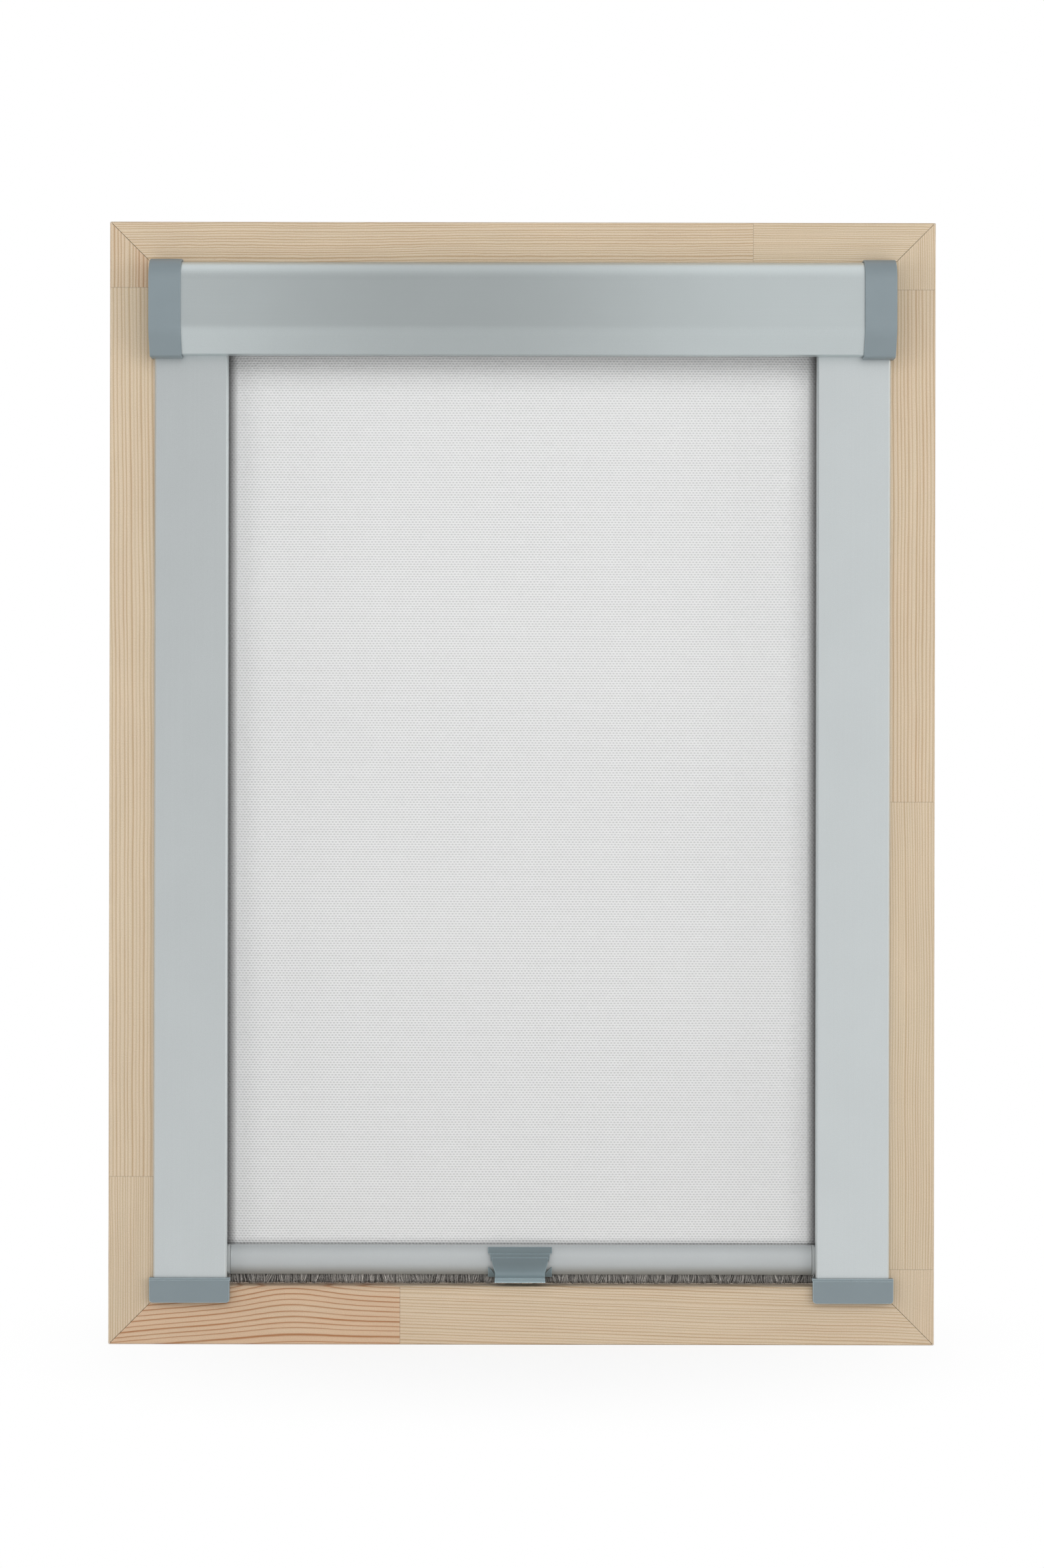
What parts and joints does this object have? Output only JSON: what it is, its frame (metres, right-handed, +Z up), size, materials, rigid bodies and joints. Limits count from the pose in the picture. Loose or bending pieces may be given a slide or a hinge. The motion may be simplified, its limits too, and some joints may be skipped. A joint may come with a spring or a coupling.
{
  "type": "skylight window blind",
  "caption": "Spring roller blind for a roof window: fabric guided in aluminium side rails below a cassette, bottom bar with pull handle and brush, on a mitred pine frame.",
  "frame": {"origin": "middle of the back face of the bottom frame member", "axes": "+X to the right seen from the room, +Z up the window, the blind faces -Y (the room), +Y towards the glass"},
  "size_m": [0.62, 0.0581, 0.843],
  "materials": {
    "pine": "clear matt lacquered pine",
    "rail_aluminium": "satin anodised",
    "cover_aluminium": "satin anodised",
    "cap_plastic": "moulded, fine matt",
    "shoe_plastic": "moulded, fine matt",
    "cloth": "coated basket weave",
    "steel": "zinc plated",
    "spring_steel": "oiled",
    "nylon": "moulded",
    "brush_pile": "synthetic pile",
    "brake_rubber": "matt"
  },
  "bodies": {
    "frame": {"frame_top_member": "pine", "frame_bottom_member": "pine", "left_frame_stile": "pine", "left_side_rail": "rail_aluminium", "left_rail_cap": "cap_plastic", "left_rail_screw_1": "steel", "left_rail_screw_2": "steel", "left_rail_screw_3": "steel", "left_cassette_cap": "cap_plastic", "right_frame_stile": "pine", "right_side_rail": "rail_aluminium", "right_rail_cap": "cap_plastic", "right_rail_screw_1": "steel", "right_rail_screw_2": "steel", "right_rail_screw_3": "steel", "right_cassette_cap": "cap_plastic", "cassette_cover": "cover_aluminium", "cassette_back": "rail_aluminium", "cassette_screw_1": "steel", "cassette_screw_2": "steel", "cassette_screw_3": "steel", "cassette_screw_4": "steel", "spring_arbor": "steel", "fabric_sheet": "cloth"},
    "roller": {"roller_tube": "rail_aluminium", "fabric_roll": "cloth", "spring_plug": "nylon", "idle_plug": "nylon", "torsion_spring": "spring_steel"},
    "bottom_bar": {"bottom_bar": "rail_aluminium", "hem_rod": "steel", "brush_strip": "brush_pile", "left_bar_shoe": "shoe_plastic", "right_bar_shoe": "shoe_plastic", "pull_handle": "cap_plastic", "left_brake_spring": "spring_steel", "right_brake_spring": "spring_steel"},
    "left_brake": {"left_brake_pad": "brake_rubber"},
    "right_brake": {"right_brake_pad": "brake_rubber"}
  },
  "joints": [
    {"name": "bar_slide", "type": "slide", "parent": "frame", "child": "bottom_bar", "axis": [0, 0, 1], "range_m": [0, 0.665], "deforming": ["fabric_sheet"]},
    {"name": "roller_spin", "type": "hinge", "parent": "frame", "child": "roller", "pos_m": [0, -0.03055, 0.75819], "axis": [1, 0, 0], "range_deg": [0, 2592]},
    {"name": "left_brake_slide", "type": "slide", "parent": "bottom_bar", "child": "left_brake", "axis": [0, -1, 0], "range_m": [0, 0.001], "stiffness_N_per_m": 400, "springref_m": -0.002, "deforming": ["left_brake_spring"]},
    {"name": "right_brake_slide", "type": "slide", "parent": "bottom_bar", "child": "right_brake", "axis": [0, -1, 0], "range_m": [0, 0.001], "stiffness_N_per_m": 400, "springref_m": -0.002, "deforming": ["right_brake_spring"]}
  ],
  "couplings": [
    {"joint": "roller_spin", "follows": "bar_slide", "rad_per_m": 68}
  ]
}
